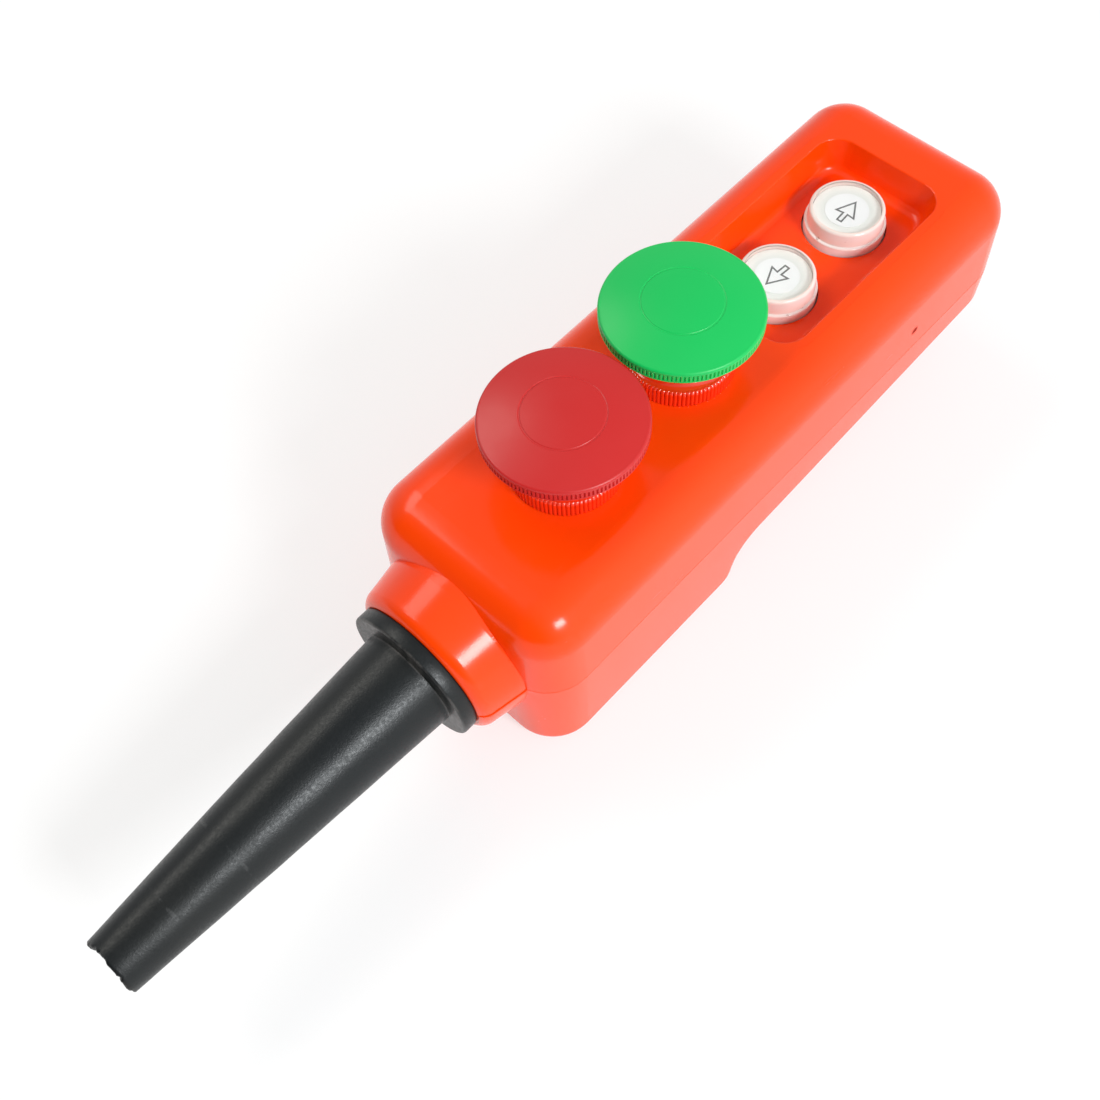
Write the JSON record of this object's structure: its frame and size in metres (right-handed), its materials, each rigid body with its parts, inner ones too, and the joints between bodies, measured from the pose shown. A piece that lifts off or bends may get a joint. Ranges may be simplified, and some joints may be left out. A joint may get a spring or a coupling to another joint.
{
  "type": "pendant control station",
  "caption": "Hand-held pendant control station: stepped orange housing with a tapered rubber cord sleeve, mushroom start and stop buttons and recessed arrow push buttons.",
  "frame": {"origin": "middle of the overall box, on the surface that the deep half of the housing lies on", "axes": "+X along the handle, away from the cord sleeve; +Y to the left when the sleeve points at the viewer; +Z out of the control face"},
  "size_m": [0.2984, 0.064, 0.0874],
  "materials": {
    "housing_orange": "satin-gloss moulded plastic",
    "bezel_orange": "knurled gloss plastic",
    "start_green": "fine satin moulded plastic",
    "stop_red": "fine satin moulded plastic",
    "clear_lens": "clear moulded plastic",
    "cap_white": "white moulded plastic",
    "legend_white": "white printed disc",
    "sleeve_rubber": "satin moulded rubber",
    "seal_rubber": "matt rubber",
    "inner_black": "black moulded plastic",
    "contact_brass": "bright brass",
    "spring_steel": "drawn wire",
    "screw_steel": "zinc-plated",
    "clamp_steel": "pressed strip"
  },
  "bodies": {
    "housing": {"button_frame": "inner_black", "button_frame_screws": "screw_steel", "cable_sleeve": "sleeve_rubber", "case_screws": "screw_steel", "cord_clamp": "clamp_steel", "cord_clamp_screws": "screw_steel", "down_block_screws": "screw_steel", "down_fixed_contacts": "contact_brass", "down_spring": "spring_steel", "down_switch_block": "inner_black", "down_terminal_screws": "screw_steel", "front_cover": "housing_orange", "housing_gasket": "seal_rubber", "rear_shell": "housing_orange", "start_barrel": "inner_black", "start_bezel": "bezel_orange", "start_block_screws": "screw_steel", "start_fixed_contacts": "contact_brass", "start_panel_seal": "seal_rubber", "start_spring": "spring_steel", "start_switch_block": "inner_black", "start_terminal_screws": "screw_steel", "stop_barrel": "inner_black", "stop_bezel": "bezel_orange", "stop_block_screws": "screw_steel", "stop_fixed_contacts": "contact_brass", "stop_panel_seal": "seal_rubber", "stop_spring": "spring_steel", "stop_switch_block": "inner_black", "stop_terminal_screws": "screw_steel", "up_block_screws": "screw_steel", "up_fixed_contacts": "contact_brass", "up_spring": "spring_steel", "up_switch_block": "inner_black", "up_terminal_screws": "screw_steel"},
    "start_button": {"start_head": "start_green", "start_stem": "inner_black", "start_contact_bridge": "contact_brass"},
    "stop_button": {"stop_head": "stop_red", "stop_stem": "inner_black", "stop_contact_bridge": "contact_brass"},
    "up_button": {"up_lens": "clear_lens", "up_cap": "cap_white", "up_legend": "legend_white", "up_plunger": "inner_black", "up_contact_bridge": "contact_brass"},
    "down_button": {"down_lens": "clear_lens", "down_cap": "cap_white", "down_legend": "legend_white", "down_plunger": "inner_black", "down_contact_bridge": "contact_brass"}
  },
  "joints": [
    {"name": "start_press", "type": "slide", "parent": "housing", "child": "start_button", "axis": [0, 0, -1], "range_m": [0, 0.005], "stiffness_N_per_m": 900, "springref_m": -0.004, "deforming": ["start_spring"]},
    {"name": "stop_press", "type": "slide", "parent": "housing", "child": "stop_button", "axis": [0, 0, -1], "range_m": [0, 0.005], "stiffness_N_per_m": 900, "springref_m": -0.004, "deforming": ["stop_spring"]},
    {"name": "up_press", "type": "slide", "parent": "housing", "child": "up_button", "axis": [0, 0, -1], "range_m": [0, 0.0035], "stiffness_N_per_m": 700, "springref_m": -0.003, "deforming": ["up_spring"]},
    {"name": "down_press", "type": "slide", "parent": "housing", "child": "down_button", "axis": [0, 0, -1], "range_m": [0, 0.0035], "stiffness_N_per_m": 700, "springref_m": -0.003, "deforming": ["down_spring"]}
  ]
}
